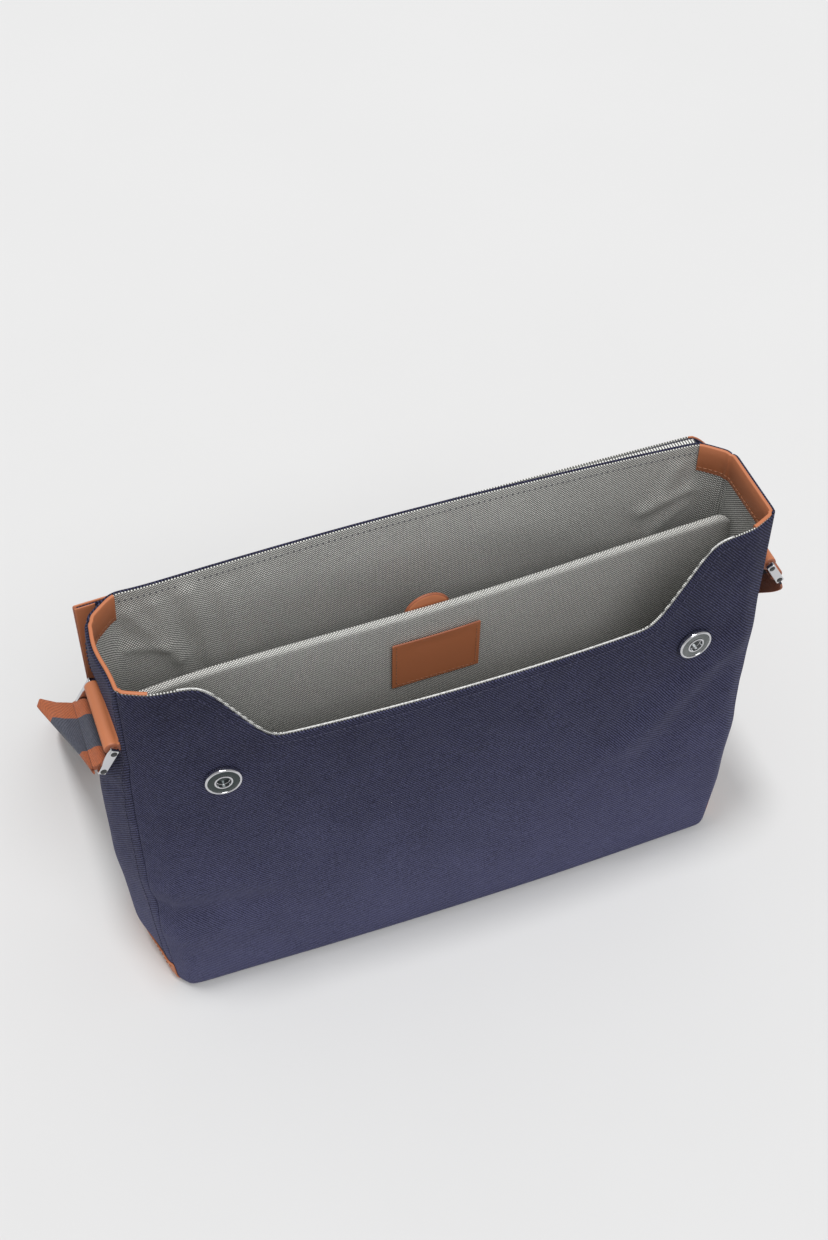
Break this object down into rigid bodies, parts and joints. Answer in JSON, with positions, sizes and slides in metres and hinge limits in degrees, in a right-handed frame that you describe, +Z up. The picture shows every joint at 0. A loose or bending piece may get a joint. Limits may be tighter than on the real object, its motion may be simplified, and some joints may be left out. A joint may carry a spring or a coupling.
{
  "type": "messenger bag",
  "caption": "Open canvas messenger bag with leather trim, a padded divider, a magnetic-snap flap thrown back behind it and a webbing shoulder strap on swinging rings.",
  "frame": {"origin": "middle of the base, on the surface the bag stands on", "axes": "+X along the bag's width to its left-hand side as worn facing out, -Y towards the front panel, +Z up"},
  "size_m": [0.4654, 0.3202, 0.304],
  "materials": {
    "navy_canvas": "matte twill",
    "birdseye_lining": "matte woven birdseye",
    "tan_leather": "smooth, semi-matt",
    "polished_nickel": "polished",
    "dark_mirror": "dark polished",
    "plain_steel": "plain",
    "ferrite": "matt",
    "padding_foam": "closed cell foam, matt",
    "stiffening_board": "matt",
    "striped_webbing": "ribbed, striped"
  },
  "bodies": {
    "bag": {"front_panel": "navy_canvas", "rear_panel": "navy_canvas", "gusset_left": "navy_canvas", "gusset_right": "navy_canvas", "leather_base": "tan_leather", "base_board": "stiffening_board", "lining_front": "birdseye_lining", "lining_rear": "birdseye_lining", "lining_left": "birdseye_lining", "lining_right": "birdseye_lining", "lining_bottom": "birdseye_lining", "divider_foam": "padding_foam", "divider_front_cover": "birdseye_lining", "divider_rear_cover": "birdseye_lining", "divider_pull_tab": "tan_leather", "leather_patch": "tan_leather", "rim_facing_left": "tan_leather", "rim_facing_right": "tan_leather", "snap_socket_caps": "dark_mirror", "snap_socket_magnets": "ferrite", "snap_socket_washers": "plain_steel", "flap_hinge_strip": "navy_canvas", "ring_tab_left": "tan_leather", "ring_tab_right": "tan_leather", "shoulder_strap": "striped_webbing", "strap_run_left": "striped_webbing", "strap_run_right": "striped_webbing"},
    "flap_top": {"flap_bridge_canvas": "navy_canvas", "flap_bridge_lining": "birdseye_lining", "flap_bridge_edges": "tan_leather"},
    "flap_front": {"flap_front_canvas": "navy_canvas", "flap_front_lining": "birdseye_lining", "flap_front_edges": "tan_leather", "flap_snap_studs": "polished_nickel", "flap_stud_washers": "plain_steel"},
    "ring_left": {"strap_ring_left": "polished_nickel", "strap_end_left": "striped_webbing"},
    "ring_right": {"strap_ring_right": "polished_nickel", "strap_end_right": "striped_webbing"},
    "slider": {"strap_slider": "polished_nickel"}
  },
  "joints": [
    {"name": "flap_fold_rear", "type": "hinge", "parent": "bag", "child": "flap_top", "pos_m": [0, 0.0512, 0.304], "axis": [1, 0, 0], "range_deg": [0, 270]},
    {"name": "flap_fold_front", "type": "hinge", "parent": "flap_top", "child": "flap_front", "pos_m": [0, 0.0537, 0.2022], "axis": [1, 0, 0], "range_deg": [0, 90]},
    {"name": "ring_left_swing", "type": "hinge", "parent": "bag", "child": "ring_left", "pos_m": [-0.20509, 0, 0.25], "axis": [0, 1, 0], "range_deg": [-28, 100], "deforming": ["strap_run_left"]},
    {"name": "ring_right_swing", "type": "hinge", "parent": "bag", "child": "ring_right", "pos_m": [0.20509, 0, 0.25], "axis": [0, -1, 0], "range_deg": [-28, 100], "deforming": ["strap_run_right"]},
    {"name": "slider_slide", "type": "slide", "parent": "bag", "child": "slider", "axis": [1, 0, 0], "range_m": [-0.04, 0.04]}
  ]
}
